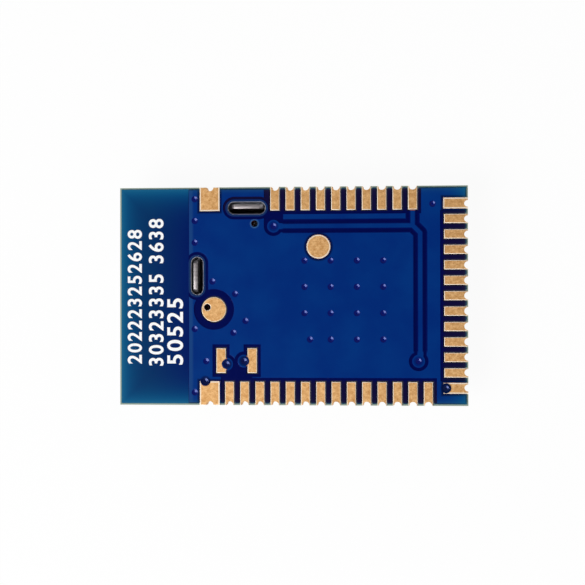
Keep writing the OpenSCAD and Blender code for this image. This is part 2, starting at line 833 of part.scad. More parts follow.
module end_edge_contacts() {
    color("#c99763") difference() {
        union() {
            at_end(end_signal_y) contact(contact_w, contact_l);
            at_end(end_ground_y) contact(end_ground_w, end_ground_l);
        }
        layer(solder_z, copper_t + past) discs_2d(contact_vias, via_d);
    }
}

module corner_ground_contacts() {
    color("#c99763") difference() {
        at_corners() contact(ground_contact_w, ground_contact_l);
        layer(solder_z, copper_t + past) discs_2d(contact_vias, via_d);
    }
}

module ground_test_land() {
    color("#d5a669") layer(solder_z, copper_t) difference() {
        discs_2d([ground_land], ground_land_d);
        discs_2d(grid_vias, via_d);
    }
}

module antenna_test_land() {
    color("#d5a669") layer(solder_z, copper_t) difference() {
        discs_2d([antenna_land], antenna_land_d);
        discs_2d([feed_hole], via_d);
    }
}

module spare_part_lands() {
    color("#c99763") layer(solder_z, copper_t) difference() {
        for (p = spare_lands) translate(p) square([spare_land_w, spare_land_l], center = true);
        discs_2d(spare_vias, via_d);
    }
}

// Shield can

// Section of a wall and its bend: X runs inwards from the wall's outer face, Y up from the lid
module wall_2d() {
    translate([0, bend_r]) square([sheet_t, can_h - bend_r]);
    intersection() {
        translate([bend_r, bend_r]) difference() {
            circle(bend_r);
            circle(bend_r - sheet_t);
        }
        square(bend_r);
    }
}

// Wall along X with its outer face on the plane Y = 0 and the can on its far side
module wall(l) {
    rotate([90, 0, 90]) translate([0, 0, -l / 2]) linear_extrude(l) wall_2d();
}

// Turns a piece made on the lower wall to each wall: the lower, upper, first and last one
module on_lower_wall() {
    translate([(can_left + can_right) / 2, -can_half_w]) children();
}
module on_upper_wall() {
    translate([(can_left + can_right) / 2, can_half_w]) rotate(180) children();
}
module on_first_wall() {
    translate([can_left, 0]) rotate(-90) children();
}
module on_last_wall() {
    translate([can_right, 0]) rotate(90) children();
}

// Tab that rises from a wall's foot through the board, with its tip's corners cut off
module tab() {
    half = tab_l / 2;
    tip = half - tab_chamfer;
    rise = top_z - tab_drop - seat_z + past;
    shoulder = rise - tab_chamfer;
    translate([0, sheet_t, seat_z - past]) rotate([90, 0, 0]) linear_extrude(sheet_t)
        polygon([[-half, 0], [half, 0], [half, shoulder], [tip, rise], [-tip, rise], [-half, shoulder]]);
}

module shield_can() {
    inner_l = can_l - 2 * bend_r;
    inner_w = 2 * (can_half_w - bend_r);
    skirt_z = bend_r + corner_slit;
    color("#c9c5bd") difference() {
        union() {
            layer(0, sheet_t) translate([can_left + bend_r, -inner_w / 2]) square([inner_l, inner_w]);
            on_lower_wall() wall(inner_l);
            on_upper_wall() wall(inner_l);
            on_first_wall() wall(inner_w);
            on_last_wall() wall(inner_w);
            for (s = [0, 1]) mirror([0, s, 0])
                translate([can_left, -can_half_w, skirt_z]) cube([can_l, sheet_t, can_h - skirt_z]);
            for (x = [can_left, can_right - sheet_t])
                translate([x, -can_half_w + sheet_t + corner_slit, skirt_z])
                    cube([sheet_t, 2 * (can_half_w - sheet_t - corner_slit), can_h - skirt_z]);
            translate([upper_slot.x, can_half_w]) rotate(180) tab();
            translate([can_left, end_slot.y]) rotate(-90) tab();
        }
        translate([can_left - past, feed_hole.y - arch_w / 2, can_h - arch_h])
            cube([sheet_t + 2 * past, arch_w, arch_h + past]);
    }
}

// Hollow fillet of solder along a wall's foot
module fillet_bar(l) {
    rotate([90, 0, 90]) translate([0, 0, -l / 2]) linear_extrude(l) difference() {
        translate([-fillet, seat_z - fillet]) square(fillet);
        translate([-fillet, seat_z - fillet]) circle(fillet);
    }
}

module shield_solder() {
    arch_edges = [for (s = [-1, 1]) feed_hole.y + s * arch_w / 2];
    first_wall_half = can_half_w - bend_r;
    color("#b8bcc0") {
        on_lower_wall() fillet_bar(can_l - 2 * bend_r);
        on_upper_wall() fillet_bar(can_l - 2 * bend_r);
        on_last_wall() fillet_bar(2 * first_wall_half);
        translate([can_left, (arch_edges[1] + first_wall_half) / 2]) rotate(-90)
            fillet_bar(first_wall_half - arch_edges[1]);
        translate([can_left, (arch_edges[0] - first_wall_half) / 2]) rotate(-90)
            fillet_bar(first_wall_half + arch_edges[0]);
    }
}

// Components, drawn with Z away from the board

module on_component_side() {
    translate([0, 0, seat_z]) mirror([0, 0, 1]) children();
}

// Lead frame's metal, from the lands up into the moulding
module lead_frame() {
    linear_extrude(stand_off + lead_t) children();
}

module processor_package() {
    mark_place = processor_place + (processor_w / 2 - mark_inset) * [-1, 1];
    color("#26272a") on_component_side() difference() {
        layer(stand_off, processor_h - stand_off) translate(processor_place)
            square(processor_w, center = true);
        lead_frame() at_each_lead() lead_2d(past);
        lead_frame() paddle_2d();
        layer(processor_h - mark_t, mark_t + past) translate(mark_place) circle(d = mark_d);
    }
}

module processor_leads() {
    color("#b8bcc0") on_component_side() lead_frame() at_each_lead() lead_2d();
}

module processor_paddle() {
    color("#b8bcc0") on_component_side() lead_frame() paddle_2d();
}

module crystal_base(place, size) {
    translate([place.x, place.y, stand_off]) linear_extrude(size.z) rounded_2d(size, crystal_rim);
}
module crystal_lid(place, size) {
    translate([place.x, place.y, stand_off + size.z]) linear_extrude(crystal_lid_t)
        rounded_2d([size.x - 2 * crystal_rim, size.y - 2 * crystal_rim], crystal_rim);
}

module radio_crystal_base() {
    color("#3b3836") on_component_side() crystal_base(radio_crystal_place, radio_crystal_size);
}

module radio_crystal_lid() {
    color("#c8c3b4") on_component_side() crystal_lid(radio_crystal_place, radio_crystal_size);
}

module clock_crystal_base() {
    color("#3b3836") on_component_side() crystal_base(clock_crystal_place, clock_crystal_size);
}

module clock_crystal_lid() {
    color("#c8c3b4") on_component_side() crystal_lid(clock_crystal_place, clock_crystal_size);
}

module crystal_terminals() {
    color("#c99763") on_component_side() linear_extrude(stand_off) terminals_2d();
}

// Ceramic block of a chip part, inside the metal of its ends
module chip_block(size) {
    translate([0, 0, size.z / 2]) cube(size - 2 * end_cap_t * [1, 1, 1], center = true);
}
module chip_ends(size) {
    end_l = chip_end_share * size.x;
    difference() {
        for (s = [-1, 1])
            translate([s * (size.x - end_l) / 2, 0, size.z / 2])
                cube([end_l, size.y, size.z], center = true);
        chip_block(size);
    }
}
module at_each_chip(parts) {
    for (c = parts) translate(c[0]) rotate(c[1]) {
        $size = c[2];
        children();
    }
}

module capacitor_bodies() {
    color("#a08a6a") on_component_side() at_each_chip(capacitors) chip_block($size);
}

module capacitor_ends() {
    color("#b8bcc0") on_component_side() at_each_chip(capacitors) chip_ends($size);
}

module inductor_bodies() {
    color("#5a5f66") on_component_side() at_each_chip(inductors) chip_block($size);
}

module inductor_ends() {
    color("#b8bcc0") on_component_side() at_each_chip(inductors) chip_ends($size);
}

// Ceramic block of the antenna, between its plated ends
module antenna_block() {
    translate([antenna_place.x, antenna_place.y, stand_off + antenna_size.z / 2])
        cube(antenna_size - 2 * end_cap_t * [1, 1, 0], center = true);
}

module antenna_body() {
    color("#e8e6df") on_component_side() antenna_block();
}

module antenna_ends() {
    color("#b8bcc0") on_component_side() difference() {
        for (s = [-1, 1])
            translate([antenna_place.x, antenna_place.y + s * (antenna_size.y - antenna_end_l) / 2, 0])
                translate([-antenna_size.x / 2, -antenna_end_l / 2, 0])
                    cube([antenna_size.x, antenna_end_l, stand_off + antenna_size.z + end_cap_t]);
        antenna_block();
    }
}

laminate();
solder_side_copper();
component_side_copper();
via_barrels();
slot_linings();
solder_side_mask();
component_side_mask();
lower_edge_contacts();
upper_edge_contacts();
end_edge_contacts();
corner_ground_contacts();
ground_test_land();
antenna_test_land();
spare_part_lands();
shield_can();
shield_solder();
processor_package();
processor_leads();
processor_paddle();
radio_crystal_base();
radio_crystal_lid();
clock_crystal_base();
clock_crystal_lid();
crystal_terminals();
capacitor_bodies();
capacitor_ends();
inductor_bodies();
inductor_ends();
antenna_body();
antenna_ends();
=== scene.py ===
"""Dresses a castellated radio module that lies on its shield can, solder side up, as it is photographed."""
import json
import math

import bpy
from mathutils import Matrix, Vector


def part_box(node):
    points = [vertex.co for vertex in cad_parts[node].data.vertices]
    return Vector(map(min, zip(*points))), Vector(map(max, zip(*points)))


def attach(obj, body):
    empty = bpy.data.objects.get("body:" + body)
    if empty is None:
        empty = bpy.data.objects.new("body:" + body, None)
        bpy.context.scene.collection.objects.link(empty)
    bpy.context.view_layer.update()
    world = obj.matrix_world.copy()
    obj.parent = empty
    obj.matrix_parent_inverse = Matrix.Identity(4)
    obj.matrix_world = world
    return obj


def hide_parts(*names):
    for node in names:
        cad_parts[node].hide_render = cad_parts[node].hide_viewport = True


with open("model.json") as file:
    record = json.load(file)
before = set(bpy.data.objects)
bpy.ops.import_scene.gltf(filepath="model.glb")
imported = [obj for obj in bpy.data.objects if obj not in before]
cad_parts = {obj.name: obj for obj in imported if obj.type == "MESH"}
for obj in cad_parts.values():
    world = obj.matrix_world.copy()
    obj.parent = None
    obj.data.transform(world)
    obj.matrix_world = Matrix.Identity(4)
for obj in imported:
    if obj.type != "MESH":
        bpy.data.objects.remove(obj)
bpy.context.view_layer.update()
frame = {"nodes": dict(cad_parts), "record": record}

MM = 0.001
MERGE = 1e-7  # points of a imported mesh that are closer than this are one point
LEVEL = 1e-6  # points whose heights differ by less than this lie at one level
FLAT = 0.99  # the upward part of a normal, above which a face is flat
DEAD_FLAT = 0.9999  # above this it is exactly flat
LOOKS_UP = 0.3  # above this it looks up
UPRIGHT = 0.01  # below this it stands upright
SAME_PLANE = math.radians(0.5)  # faces that differ by less than this are joined
SHARP = math.radians(40)  # edges above this angle are sharp
CREASE = math.radians(35)  # edges of a rounded piece above this angle stay creased

# Levels, edges and lands of the board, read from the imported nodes, in metres
BOARD_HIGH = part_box("laminate")[1]
TOP_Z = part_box("solder_side_mask")[1].z
LAND_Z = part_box("ground_test_land")[1].z
COPPER_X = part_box("solder_side_copper")[0].x
LAND_LENGTH = BOARD_HIGH.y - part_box("upper_edge_contacts")[0].y
CORNER_LOW, CORNER_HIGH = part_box("corner_ground_contacts")
GROUND_LOW, GROUND_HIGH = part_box("ground_test_land")
END_LOW, END_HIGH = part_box("end_edge_contacts")
SLOT_OF = {row["node"]: row["material_slot"] for row in frame["record"]["subparts"]}

# Places on the solder side
CORNER_END = 3.9 * MM  # inner end of the corner lands, across the board
END_GROUND = 0.52 * MM  # width of the first and the last contact of the end row
OPEN_VIA = (-1.74 * MM, 3.32 * MM, 0)
SUNK_VIAS = (  # covered vias that bite into a land
    (-3.03 * MM, -3.12 * MM, 0),
    (-2.225 * MM, -2.98 * MM, 0),
    (-4.02 * MM, -3.9 * MM, 0),
    (6.995 * MM, -4.2 * MM, 0),
)
TRACK = (  # start and run of each straight length of the signal track
    ((-0.86 * MM, 3.195 * MM, 0), (6.36 * MM, 0, 0)),
    ((5.5 * MM, 3.195 * MM, 0), (0.34 * MM, -0.34 * MM, 0)),
    ((5.84 * MM, 2.855 * MM, 0), (0, -5.835 * MM, 0)),
    ((5.5 * MM, 3.195 * MM, 0), (0, 0.725 * MM, 0)),
)
TRACK_GAP = 0.21 * MM  # from the middle of the track to the middle of the gap beside it
TRACK_VIAS = ((-0.86 * MM, 3.195 * MM, 0), (5.76 * MM, -2.98 * MM, 0))
SLOTS = (  # middle and half the straight part of each slot
    ((-2.1 * MM, 4.04 * MM, 0), (0.585 * MM, 0, 0)),
    ((-4.4 * MM, 0.93 * MM, 0), (0, 0.585 * MM, 0)),
)

# Tints of the solder mask: where each starts, where it is full, and in some its shares there
PALE_STRIP = (COPPER_X + 0.2 * MM, COPPER_X + 0.1 * MM)  # along the board; a painted highlight at the copper's edge by the antenna end
PALE_LIP = (0.23 * MM, 0.18 * MM, 0, 0.55)  # from the middle of the open via; a painted highlight on the film's lip
SLOT_RING = (0.43 * MM, 0.36 * MM, 0, 0.8)  # from the middle line of a slot; a painted sheen on the film's lip
TRACK_EDGE = (0.13 * MM, 0.09 * MM)  # from the middle of the gap; painted shade at the copper's edges
PAST_FIRST_VIA = (-0.5 * MM, -0.4 * MM)  # along the board
PAST_LAST_VIA = (-2.6 * MM, -2.5 * MM)  # across the board
TRACK_DISC = (0.25 * MM, 0.2 * MM, 0, 0.55)  # from the middle of a track's via; painted shade of its sag
CONTACT_ROW = (LAND_LENGTH + 0.1 * MM, LAND_LENGTH - 0.1 * MM)  # from the board's edge
SAG = (0.002 * MM, 0.004 * MM)  # from the level of the lands
OVER_COPPER = (TOP_Z - 0.0024 * MM, TOP_Z - 0.0004 * MM)  # height
SUNK_DISC = (0.27 * MM, 0.2 * MM, 0, 0.7)  # from the middle of a via beside a land; painted shade
LAND_LINE = (-0.13 * MM, -0.06 * MM, 0, 0.85)  # depth inside a land, so negative beside it; a painted line of shade
DIM_END = (-6.6 * MM, -4.9 * MM)  # along the board
BARE_END = (COPPER_X - 0.03 * MM, COPPER_X - 0.06 * MM)  # along the board
GAP_BRINK = (0.1 * MM, 0.14 * MM)  # from the board's edge
FILM_ROUGH = (0, 1, 0.1, 0.18)  # over the whole range of the noise
# Lengths over which the light and the brink die away, with the sign of their exponents
CORNER_GLOW, EDGE_GLOW, BRINK = -0.32 * MM, -0.45 * MM, -0.1 * MM

# Painted highlights on the rims of the plating, by the upward part of a face's normal, or by the depth
# inside a land
RIM_LEAN, RIM_SIDE = (0.995, 0.95), (0.1, 0.3)
RIM_BAND = (0.03 * MM, 0.038 * MM)  # middle, and reach to both sides
RIM_SHARE = 0.8
RIM_METAL = (0, 1, 1, 0.4)  # metalness, full where no highlight is painted

# Laminate
WAVE = 20  # radians by which a wave texture of scale 1 advances in a unit
CUT_EDGE = (0.06 * MM, 0.16 * MM)  # from the board's edge, pale and then dark

# Values between which one noise, its middle, and the sum of two noises mostly lie
NOISE, NOISE_CORE, TWO_NOISES = (0.3, 0.7), (0.35, 0.65), (0.7, 1.3)

# Printed numerals
INK = 0.015 * MM  # thickness
STROKE = 0.02  # growth of a stroke to each side, over the size of the font
SPREAD = 1.2  # spacing of the numerals
STEPS = 5  # straight lengths in a curve

# Photograph: its point of view, fitted to the lands and moved half a pixel towards the board's outline
AIM = (0.008 * MM, 0.158 * MM)
DISTANCE = 80 * MM
TILT_X, TILT_Y, ROLL = 0.55, 5.87, -0.14  # degrees
FOCAL_SHARE = 2.99  # focal length over the width of the sensor
SENSOR = 36  # mm

# Room
FLOOR = 2  # metres
BACKDROP = 0.94  # share of plain white in the floor, where it is looked at
ROOM = ((20, 1), (35, 0.2), (70, 0.15), (80, 0.02))  # height in degrees, and brightness there


# Tools for materials

def linear(code):
    """The linear colour of an sRGB hex code."""
    parts = [int(code[i:i + 2], 16) / 255 for i in (1, 3, 5)]
    return [p / 12.92 if p <= 0.04045 else ((p + 0.055) / 1.055) ** 2.4 for p in parts] + [1]


def feed(node, inputs):
    """Fills sockets, by name or in order, with values or with links from sockets or from nodes."""
    named = isinstance(inputs, dict)
    sockets = node.inputs if named else [s for s in node.inputs if s.enabled]
    for name, value in inputs.items() if named else enumerate(inputs):
        if isinstance(value, bpy.types.Node):
            value = next(s for s in value.outputs if s.enabled)
        if isinstance(value, bpy.types.NodeSocket):
            node.id_data.links.new(value, sockets[name])
        else:
            sockets[name].default_value = value


def add(tree, kind, inputs=(), **settings):
    """Adds a shader node with its settings and inputs."""
    made = tree.nodes.new("ShaderNode" + kind)
    for name, value in settings.items():
        setattr(made, name, value)
    feed(made, inputs)
    return made


def start(name):
    """A new material; returns it, its tree, its principled shader and its Object coordinates."""
    made = bpy.data.materials.new(name)
    made.use_nodes = True
    tree = made.node_tree
    place = add(tree, "TexCoord").outputs["Object"]
    return made, tree, tree.nodes["Principled BSDF"], place


def per(size_mm):
    """The scale of a pattern whose features are this wide."""
    return 1 / (size_mm * MM)


def from_edges(tree, xyz):
    """How far a place lies from the board's nearer long edge, and from its nearer end."""
    across = add(tree, "Math", [xyz["Y"]], operation="ABSOLUTE")
    along = add(tree, "Math", [xyz["X"]], operation="ABSOLUTE")
    side = add(tree, "Math", [BOARD_HIGH.y, across], operation="SUBTRACT")
    end = add(tree, "Math", [BOARD_HIGH.x, along], operation="SUBTRACT")
    return side, end


def land_depth(tree, place):
    """How far a place lies inside the lands that the film borders: round, corner and end grounds."""
    xyz = add(tree, "SeparateXYZ", [place]).outputs
    flat = add(tree, "CombineXYZ", [xyz["X"], xyz["Y"]])
    middle = (GROUND_LOW + GROUND_HIGH) / 2
    away = add(tree, "VectorMath", [flat, (middle.x, middle.y, 0)], operation="DISTANCE")
    radius = (GROUND_HIGH.x - GROUND_LOW.x) / 2
    depth = add(tree, "Math", [radius, away], operation="SUBTRACT")
    across = add(tree, "Math", [xyz["Y"]], operation="ABSOLUTE")
    corner_x = (CORNER_LOW.x + CORNER_HIGH.x) / 2
    corner_w = CORNER_HIGH.x - CORNER_LOW.x
    for wide, middle, width, long, inner_end in (
        (xyz["X"], corner_x, corner_w, across, CORNER_END),
        (across, END_HIGH.y - END_GROUND / 2, END_GROUND, xyz["X"], END_LOW.x),
    ):
        off = add(tree, "Math", [wide, middle], operation="SUBTRACT")
        off = add(tree, "Math", [off], operation="ABSOLUTE")
        side = add(tree, "Math", [width / 2, off], operation="SUBTRACT")
        end = add(tree, "Math", [long, inner_end], operation="SUBTRACT")
        land = add(tree, "Math", [side, end], operation="MINIMUM")
        depth = add(tree, "Math", [depth, land], operation="MAXIMUM")
    return depth


# Materials

def lacquer():
    """Blue solder mask: clear over copper, dark between it, with painted highlights at the copper's edge
    and on lips, and painted shade next to copper and lands.
    """
    made, tree, shader, place = start("blue epoxy solder mask")
    xyz = add(tree, "SeparateXYZ", [place]).outputs
    flat = add(tree, "CombineXYZ", [xyz["X"], xyz["Y"]])
    side, end = from_edges(tree, xyz)
    depth = add(tree, "Math", [side, end], operation="MINIMUM")

    # Over copper: faint clouds, a painted highlight along the copper's edge at the antenna end, and a
    # painted highlight on the lip around the open via
    cloud = add(tree, "TexNoise", {"Vector": place, "Scale": per(1.6), "Detail": 3.0})
    share = add(tree, "MapRange", [cloud, *NOISE_CORE])
    film = add(tree, "Mix", [share, linear("#012C79"), linear("#02347F")], data_type="RGBA")
    pale = add(tree, "MapRange", [xyz["X"], *PALE_STRIP])
    film = add(tree, "Mix", [pale, film, linear("#184280")], data_type="RGBA")
    # Painted highlight: the film's lip around the open via, lighter as a lit rim
    away = add(tree, "VectorMath", [flat, OPEN_VIA], operation="DISTANCE")
    lip = add(tree, "MapRange", [away, *PALE_LIP])
    film = add(tree, "Mix", [lip, film, linear("#4A7AA0")], data_type="RGBA")

    # Over the plated rings of the slots: the film is thin there, and its greyish tint is a painted sheen of
    # its rounded lip
    for middle, half in SLOTS:
        away = add(tree, "VectorMath", [flat, middle], operation="SUBTRACT")
        away = add(tree, "VectorMath", [away], operation="ABSOLUTE")
        away = add(tree, "VectorMath", [away, half], operation="SUBTRACT")
        away = add(tree, "VectorMath", [away, (0, 0, 0)], operation="MAXIMUM")
        away = add(tree, "VectorMath", [away], operation="LENGTH")
        ring = add(tree, "MapRange", [away, *SLOT_RING])
        film = add(tree, "Mix", [ring, film, linear("#1A3357")], data_type="RGBA")

    # Along the signal track: painted shade at the edges of the copper on both sides of the gap
    nearest = 1.0
    for begin, run in TRACK:
        away = add(tree, "VectorMath", [flat, begin], operation="SUBTRACT")
        per_run = Vector(run) / Vector(run).length_squared
        share = add(tree, "VectorMath", [away, per_run], operation="DOT_PRODUCT")
        share = add(tree, "Clamp", [share])
        foot = add(tree, "VectorMath", [run, share], operation="SCALE")
        away = add(tree, "VectorMath", [away, foot], operation="DISTANCE")
        nearest = add(tree, "Math", [nearest, away], operation="MINIMUM")
    off = add(tree, "Math", [nearest, TRACK_GAP], operation="SUBTRACT")
    off = add(tree, "Math", [off], operation="ABSOLUTE")
    track_edge_shade = add(tree, "MapRange", [off, *TRACK_EDGE])
    past = add(tree, "MapRange", [xyz["X"], *PAST_FIRST_VIA])
    track_edge_shade = add(tree, "Math", [track_edge_shade, past], operation="MULTIPLY")
    past = add(tree, "MapRange", [xyz["Y"], *PAST_LAST_VIA])
    track_edge_shade = add(tree, "Math", [track_edge_shade, past], operation="MULTIPLY")
    film = add(tree, "Mix", [track_edge_shade, film, linear("#00084D")], data_type="RGBA")

    # Over the two vias of the track: painted shade, darker than their rims
    for middle in TRACK_VIAS:
        away = add(tree, "VectorMath", [flat, middle], operation="DISTANCE")
        disc = add(tree, "MapRange", [away, *TRACK_DISC])
        film = add(tree, "Mix", [disc, film, linear("#00125E")], data_type="RGBA")

    # Between the copper: dark blue, nearly black in the rows of lands, and clearer where it sags into a via
    row = add(tree, "MapRange", [depth, *CONTACT_ROW])
    gap = add(tree, "Mix", [row, linear("#00084D"), linear("#110C37")], data_type="RGBA")
    off = add(tree, "Math", [xyz["Z"], LAND_Z], operation="SUBTRACT")
    off = add(tree, "Math", [off], operation="ABSOLUTE")
    sag = add(tree, "MapRange", [off, *SAG])
    gap = add(tree, "Mix", [sag, gap, linear("#000C69")], data_type="RGBA")
    high = add(tree, "MapRange", [xyz["Z"], *OVER_COPPER])
    area = add(tree, "Mix", [high, gap, film], data_type="RGBA")

    # Beside a land: painted shade, in a dark disc where the film falls into a via, and in a dark line along
    # a land that the film borders
    for middle in SUNK_VIAS:
        away = add(tree, "VectorMath", [flat, middle], operation="DISTANCE")
        sunk = add(tree, "MapRange", [away, *SUNK_DISC])
        area = add(tree, "Mix", [sunk, area, linear("#020938")], data_type="RGBA")
    line = add(tree, "MapRange", [land_depth(tree, place), *LAND_LINE])
    area = add(tree, "Mix", [line, area, linear("#020938")], data_type="RGBA")

    # Corners of the board: light that enters the laminate at two cut edges glows through the film
    corner = add(tree, "CombineXYZ", [side, end])
    corner = add(tree, "VectorMath", [corner], operation="LENGTH")
    glow = add(tree, "Math", [corner, CORNER_GLOW], operation="DIVIDE")
    glow = add(tree, "Math", [glow], operation="EXPONENT")
    area = add(tree, "Mix", [glow, area, linear("#087090")], data_type="RGBA")

    # Antenna end: light that enters the bare laminate at its cut edges glows through the film
    dim = add(tree, "MapRange", [xyz["X"], *DIM_END])
    dim = add(tree, "Mix", [dim, linear("#042E60"), linear("#011B60")], data_type="RGBA")
    glow = add(tree, "Math", [depth, EDGE_GLOW], operation="DIVIDE")
    glow = add(tree, "Math", [glow], operation="EXPONENT")
    strip = add(tree, "Mix", [glow, dim, linear("#086594")], data_type="RGBA")
    bare = add(tree, "MapRange", [xyz["X"], *BARE_END])
    colour = add(tree, "Mix", [bare, area, strip], data_type="RGBA")

    # Cut edges: the film's brink is thin and shows the pale laminate, but for the gaps between the lands
    over = add(tree, "Math", [high, bare], operation="MAXIMUM")
    between = add(tree, "Math", [row, over], operation="SUBTRACT", use_clamp=True)
    inside = add(tree, "MapRange", [depth, *GAP_BRINK])
    between = add(tree, "Math", [between, inside], operation="MULTIPLY")
    brink = add(tree, "Mix", [between, linear("#2B6A84"), linear("#34323E")], data_type="RGBA")
    near = add(tree, "Math", [depth, BRINK], operation="DIVIDE")
    near = add(tree, "Math", [near], operation="EXPONENT")
    colour = add(tree, "Mix", [near, colour, brink], data_type="RGBA")

    # Surface: a semi-gloss that is a little uneven, as printed film dries
    grain = add(tree, "TexNoise", {"Vector": place, "Scale": per(0.12), "Detail": 2.0})
    rough = add(tree, "MapRange", [grain, *FILM_ROUGH])
    bump = add(tree, "Bump", {"Strength": 0.05, "Distance": 0.004 * MM, "Height": grain})
    feed(shader, {"Base Color": colour, "Roughness": rough, "Normal": bump, "IOR": 1.58})
    feed(shader, {"Specular IOR Level": 0.8, "Specular Tint": linear("#A6B8FF")})
    return made


def plating(name, low, high, grain_mm, rough_low, rough_high, streak=(1, 1, 1), rim=None):
    """A metal surface whose colour and polish vary a little, and whose rounded rims may carry a painted
    pale highlight.
    """
    made, tree, shader, place = start(name)
    drawn = add(tree, "Mapping", {"Vector": place, "Scale": streak})
    cloud_mm = grain_mm * 3
    cloud = add(tree, "TexNoise", {"Vector": drawn, "Scale": per(cloud_mm), "Detail": 2.0})
    grain = add(tree, "TexNoise", {"Vector": drawn, "Scale": per(grain_mm), "Detail": 3.0})
    mixed = add(tree, "Math", [cloud, grain], operation="ADD")
    share = add(tree, "MapRange", [mixed, *TWO_NOISES])
    colour = add(tree, "Mix", [share, linear(low), linear(high)], data_type="RGBA")
    metal = 1
    if rim:
        facing = add(tree, "NewGeometry").outputs["True Normal"]
        up = add(tree, "SeparateXYZ", [facing]).outputs["Z"]
        leaning = add(tree, "MapRange", [up, *RIM_LEAN])
        above = add(tree, "MapRange", [up, *RIM_SIDE])
        # The lands that the film borders get nearly the same painted highlight along their edges
        band = add(tree, "Math", [land_depth(tree, place), *RIM_BAND], operation="COMPARE")
        band = add(tree, "Math", [band, RIM_SHARE], operation="MULTIPLY")
        rim_highlight = add(tree, "Math", [leaning, band], operation="MAXIMUM")
        rim_highlight = add(tree, "Math", [rim_highlight, above], operation="MULTIPLY")
        colour = add(tree, "Mix", [rim_highlight, colour, linear(rim)], data_type="RGBA")
        metal = add(tree, "MapRange", [rim_highlight, *RIM_METAL])
    rough = add(tree, "MapRange", [grain, *NOISE, rough_low, rough_high])
    bump = add(tree, "Bump", {"Strength": 0.15, "Distance": 0.01 * MM, "Height": grain})
    feed(shader, {"Base Color": colour, "Metallic": metal, "Roughness": rough, "Normal": bump})
    return made


def fired(name, low, high, grain_mm, rough):
    """A matt mineral or moulded surface with fine grit in it."""
    made, tree, shader, place = start(name)
    grain = add(tree, "TexNoise", {"Vector": place, "Scale": per(grain_mm), "Detail": 4.0})
    share = add(tree, "MapRange", [grain, *NOISE])
    colour = add(tree, "Mix", [share, linear(low), linear(high)], data_type="RGBA")
    bump = add(tree, "Bump", {"Strength": 0.2, "Distance": 0.01 * MM, "Height": grain})
    feed(shader, {"Base Color": colour, "Roughness": rough, "Normal": bump})
    return made


def glass_cloth():
    """Glass-fibre laminate: pale, with bands of cloth, at its cut edges, and dark further in, from inner
    copper and from painted shade where it is seen deep in a gap.
    """
    made, tree, shader, place = start("glass-fibre laminate")
    turn = per(0.11) / WAVE  # one radian in 0.11 mm, so one band in 0.69 mm
    ply = add(tree, "TexWave", {"Vector": place, "Scale": turn, "Distortion": 1.5, "Detail": 2.0},
              bands_direction="Z")
    fibre = add(tree, "TexNoise", {"Vector": place, "Scale": per(0.08), "Detail": 3.0})
    share = add(tree, "Math", [ply.outputs["Fac"], fibre], operation="MULTIPLY")
    cut = add(tree, "Mix", [share, linear("#8F9F90"), linear("#CFD8C8")], data_type="RGBA")
    side, end = from_edges(tree, add(tree, "SeparateXYZ", [place]).outputs)
    depth = add(tree, "Math", [side, end], operation="MINIMUM")
    deep = add(tree, "MapRange", [depth, *CUT_EDGE])
    colour = add(tree, "Mix", [deep, cut, linear("#141032")], data_type="RGBA")
    bump = add(tree, "Bump", {"Strength": 0.4, "Distance": 0.01 * MM, "Height": fibre})
    feed(shader, {"Base Color": colour, "Roughness": 0.7, "Normal": bump})
    return made


# Grain, grit and bands of cloth are drawn several times coarser than real, so that they show at this size
FINISHES = {
    # Pale greenish bands at the cut edges, dark where the board is looked into through a gap, partly
    # painted shade
    "laminate": glass_cloth(),
    # Deep blue with a soft gloss, in which each sunk via has a dark side and a glint
    "solder_mask": lacquer(),
    # Warm red metal, seen in the holes and beside the film
    "copper": plating("bare copper", "#B06A45", "#D18A62", 0.05, 0.35, 0.55),
    # Satin yellow lands with faint clouds and painted pale highlights on their rims
    "gold": plating("immersion gold over nickel", "#C79154", "#F2C88F", 0.06, 0.54, 0.68, rim="#FFF2E0"),
    # Cool grey, half dull as it froze
    "tin": plating("reflowed tin", "#A9ACB2", "#D2D5DA", 0.08, 0.3, 0.55),
    # Warm grey sheet with streaks along the way it was rolled
    "can_sheet": plating("rolled nickel silver", "#969091", "#BBB4B5", 0.04, 0.35, 0.5, (0.1, 1, 1)),
    # Matt black with fine grit
    "moulding": fired("moulded black epoxy", "#141416", "#242427", 0.03, 0.6),
    # Matt brownish black
    "dark_ceramic": fired("fired dark ceramic", "#3A3532", "#4A4440", 0.03, 0.65),
    # Pale straw-coloured metal, smoother than the tin
    "crystal_lid": plating("plated crystal lid", "#C0B592", "#D8CFB0", 0.05, 0.3, 0.45),
    # Tan and slightly waxy
    "capacitor_ceramic": fired("fired capacitor ceramic", "#94785A", "#A98C6B", 0.03, 0.55),
    # Slate grey, matt
    "ferrite": fired("fired ferrite", "#54585E", "#686C72", 0.03, 0.6),
    # Off-white, like unglazed china
    "antenna_ceramic": fired("fired antenna ceramic", "#E2DDCF", "#F2EFE6", 0.04, 0.5),
    # Clean white, matt and a little uneven
    "print": fired("white printing ink", "#F0F1F4", "#FFFFFF", 0.05, 0.55),
}


# Tools for new pieces

def choose(piece):
    """Makes this piece the only selected and the active one."""
    bpy.ops.object.select_all(action="DESELECT")
    piece.select_set(True)
    bpy.context.view_layer.objects.active = piece


def paint(piece, slot):
    """Gives a piece the finish of a slot, and no other."""
    piece.data.materials.clear()
    piece.data.materials.append(FINISHES[slot])


def mounted(piece, slot):
    """Paints a new piece and lets it ride with the module."""
    paint(piece, slot)
    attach(piece, "root")


